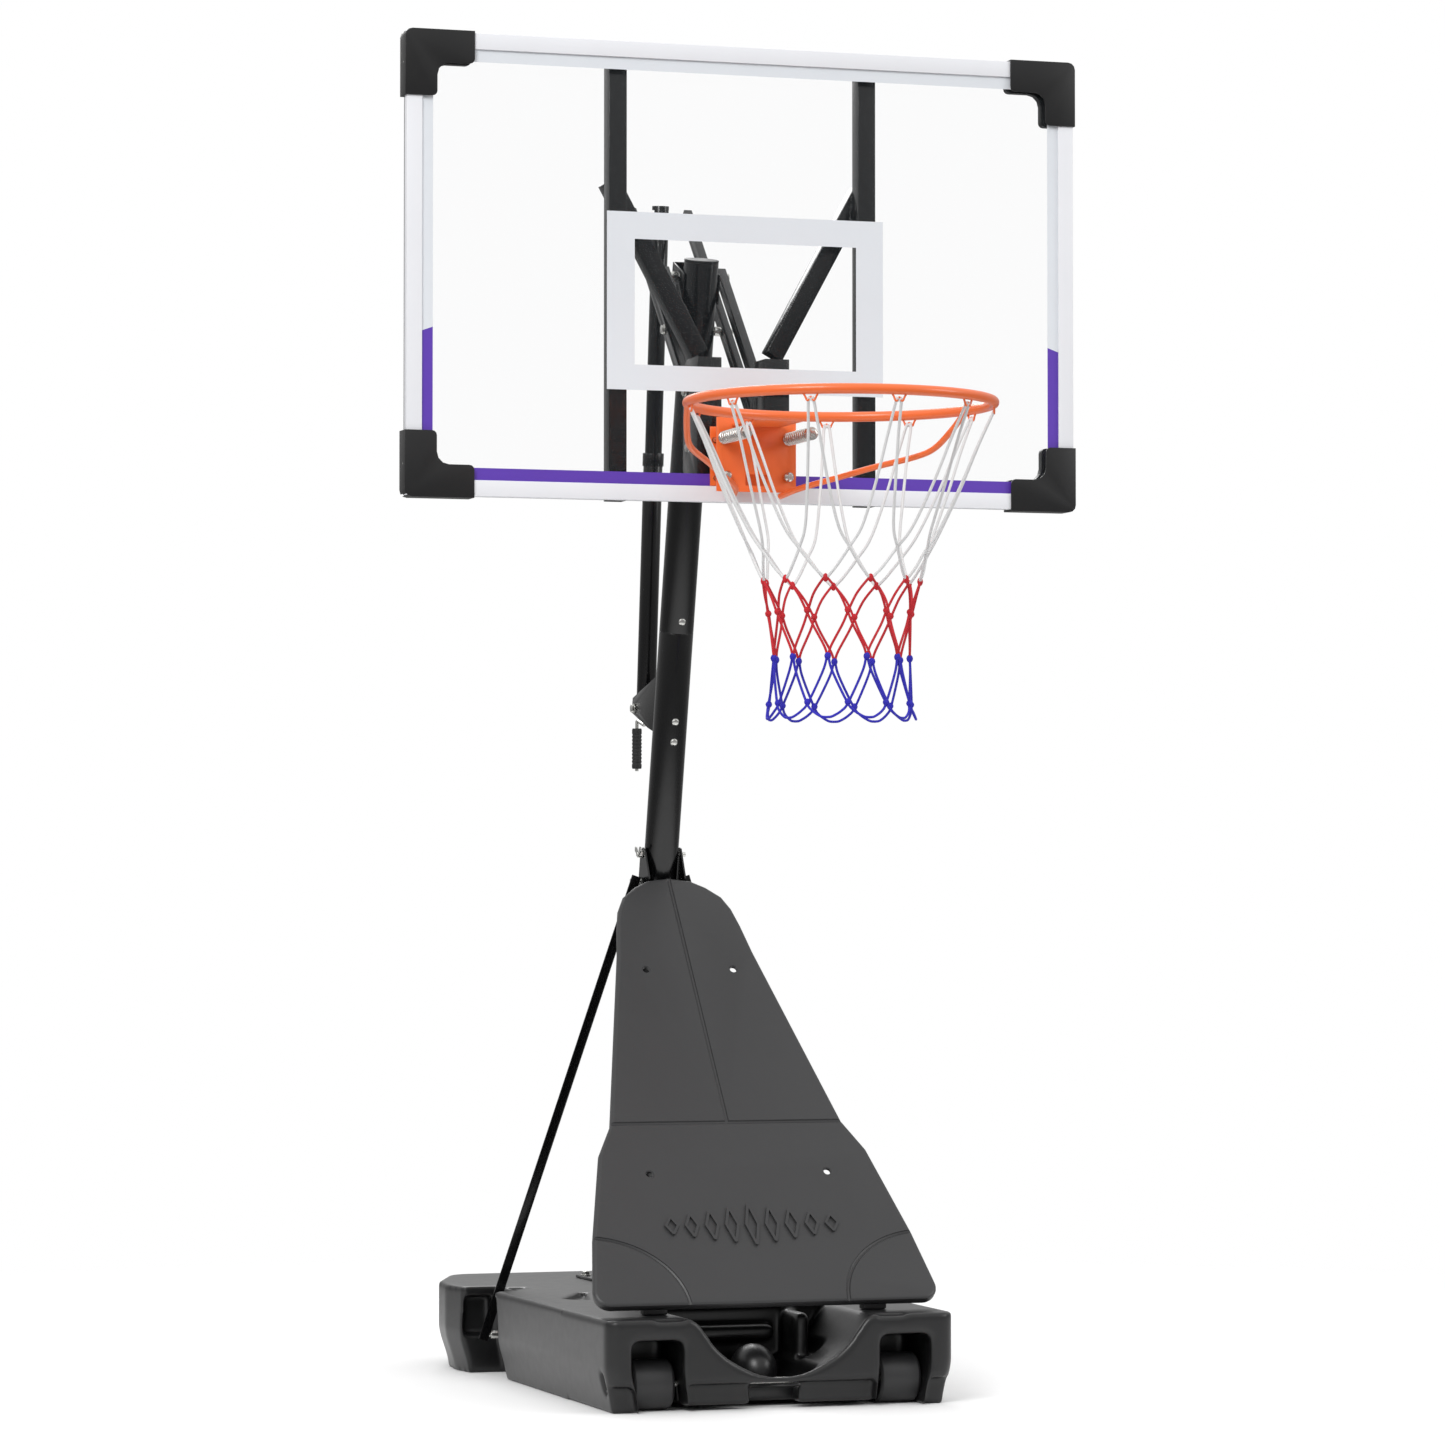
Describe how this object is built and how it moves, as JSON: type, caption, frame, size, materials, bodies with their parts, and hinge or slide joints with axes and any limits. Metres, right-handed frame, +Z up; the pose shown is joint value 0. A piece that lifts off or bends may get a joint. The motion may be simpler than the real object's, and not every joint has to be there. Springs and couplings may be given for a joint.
{
  "type": "portable basketball hoop",
  "caption": "Portable basketball hoop: wheeled filled base, leaning pole with front cover, crank-lifted clear backboard on parallel arms, sprung orange rim with net.",
  "frame": {"origin": "on the floor, under the middle of the bounding box", "axes": "+Z up, -Y towards the rim and the front of the base, +X to the right seen from behind the hoop's front, that is the viewer's right when facing the backboard"},
  "size_m": [1.15, 1.5532, 2.199],
  "materials": {
    "base_plastic": "blow-moulded, fine grain",
    "cover_plastic": "blow-moulded, satin",
    "trim_plastic": "satin",
    "black_steel": "gloss powder coat",
    "bright_steel": "zinc plated",
    "frame_aluminium": "white painted",
    "clear_panel": "clear polycarbonate",
    "orange_rim": "gloss powder coat",
    "net_cord": "knotted cord",
    "grip_rubber": "moulded"
  },
  "bodies": {
    "stand": {"base_tank": "base_plastic", "axle_rod": "bright_steel", "front_cover": "cover_plastic", "pole_lower": "black_steel", "pole_middle": "black_steel", "pole_upper": "black_steel", "pole_cap": "trim_plastic", "pole_foot": "black_steel", "cover_clevis": "black_steel", "clevis_bolt": "bright_steel", "strut_left": "black_steel", "strut_right": "black_steel", "strut_bolt_left": "bright_steel", "strut_bolt_right": "bright_steel", "crank_bracket": "black_steel", "pole_top_bracket": "black_steel", "lower_pivot_bolt": "bright_steel", "upper_pivot_bolt": "bright_steel"},
    "fill_cap": {"fill_cap": "trim_plastic"},
    "wheel_left": {"wheel_left": "trim_plastic"},
    "wheel_right": {"wheel_right": "trim_plastic"},
    "lower_arms": {"lower_arm_left": "black_steel", "lower_arm_right": "black_steel", "lift_top_bolt": "bright_steel"},
    "upper_arms": {"upper_arm_left": "black_steel", "upper_arm_right": "black_steel"},
    "board": {"board_panel": "clear_panel", "frame_top": "frame_aluminium", "frame_bottom": "frame_aluminium", "frame_left": "frame_aluminium", "frame_right": "frame_aluminium", "corner_cap_bottom_left": "trim_plastic", "corner_cap_bottom_right": "trim_plastic", "corner_cap_top_left": "trim_plastic", "corner_cap_top_right": "trim_plastic", "upright_left": "black_steel", "upright_right": "black_steel", "diagonal_left": "black_steel", "diagonal_right": "black_steel", "bracket_channel_left": "black_steel", "bracket_channel_right": "black_steel", "rim_spacer_box": "orange_rim", "bracket_bolt_lower": "bright_steel", "bracket_bolt_upper": "bright_steel", "spring_bolt_left": "bright_steel", "spring_bolt_right": "bright_steel", "rim_hinge_bolt_left": "bright_steel", "rim_hinge_bolt_right": "bright_steel"},
    "rim": {"rim_ring": "orange_rim", "rim_plate": "orange_rim", "net": "net_cord", "rim_spring_left": "bright_steel", "rim_spring_right": "bright_steel"},
    "screw_tube": {"crank_outer_tube": "black_steel", "crank_pivot_left": "bright_steel", "crank_pivot_right": "bright_steel"},
    "sliding_tube": {"crank_inner_tube": "black_steel"},
    "crank": {"lift_screw": "bright_steel", "crank_handle": "bright_steel"},
    "grip": {"crank_grip": "grip_rubber"}
  },
  "joints": [
    {"name": "arms_lift", "type": "hinge", "parent": "stand", "child": "lower_arms", "pos_m": [0, 0.191, 1.76], "axis": [-1, 0, 0], "range_deg": [0, 75]},
    {"name": "upper_arms_lift", "type": "hinge", "parent": "stand", "child": "upper_arms", "pos_m": [0, 0.209, 1.853], "axis": [-1, 0, 0], "range_deg": [0, 75]},
    {"name": "board_level", "type": "hinge", "parent": "lower_arms", "child": "board", "pos_m": [0, -0.01303, 1.545], "axis": [-1, 0, 0], "range_deg": [-75, 0]},
    {"name": "rim_flex", "type": "hinge", "parent": "board", "child": "rim", "pos_m": [0, -0.122, 1.491], "axis": [1, 0, 0], "range_deg": [0, 10], "stiffness_Nm_per_rad": 90, "springref_deg": -14.32, "deforming": ["rim_spring_left", "rim_spring_right"]},
    {"name": "crank_tilt", "type": "hinge", "parent": "stand", "child": "screw_tube", "pos_m": [0, 0.477, 1.135], "axis": [-1, 0, 0], "range_deg": [0, 2.57]},
    {"name": "crank_slide", "type": "slide", "parent": "screw_tube", "child": "sliding_tube", "axis": [0, -0.0971, 0.9953], "range_m": [-0.36025, 0]},
    {"name": "crank_turn", "type": "hinge", "parent": "screw_tube", "child": "crank", "pos_m": [0, 0.477, 1.135], "axis": [0, -0.0971, 0.9953], "continuous": true},
    {"name": "grip_spin", "type": "hinge", "parent": "crank", "child": "grip", "pos_m": [0, 0.52883, 1.10212], "axis": [0, 0.01, -0.9999], "continuous": true},
    {"name": "wheel_left_spin", "type": "hinge", "parent": "stand", "child": "wheel_left", "pos_m": [-0.207, -0.197, 0.041], "axis": [1, 0, 0], "continuous": true},
    {"name": "wheel_right_spin", "type": "hinge", "parent": "stand", "child": "wheel_right", "pos_m": [0.207, -0.197, 0.041], "axis": [1, 0, 0], "continuous": true},
    {"name": "fill_cap_turn", "type": "hinge", "parent": "stand", "child": "fill_cap", "pos_m": [0.17, 0.68, 0.1473], "axis": [0, 0, 1], "continuous": true}
  ],
  "couplings": [
    {"joint": "upper_arms_lift", "follows": "arms_lift", "ratio": 1},
    {"joint": "board_level", "follows": "arms_lift", "ratio": -1},
    {"joint": "crank_tilt", "follows": "arms_lift", "ratio": 0.034037},
    {"joint": "crank_slide", "follows": "arms_lift", "m_per_rad": -0.27483}
  ]
}
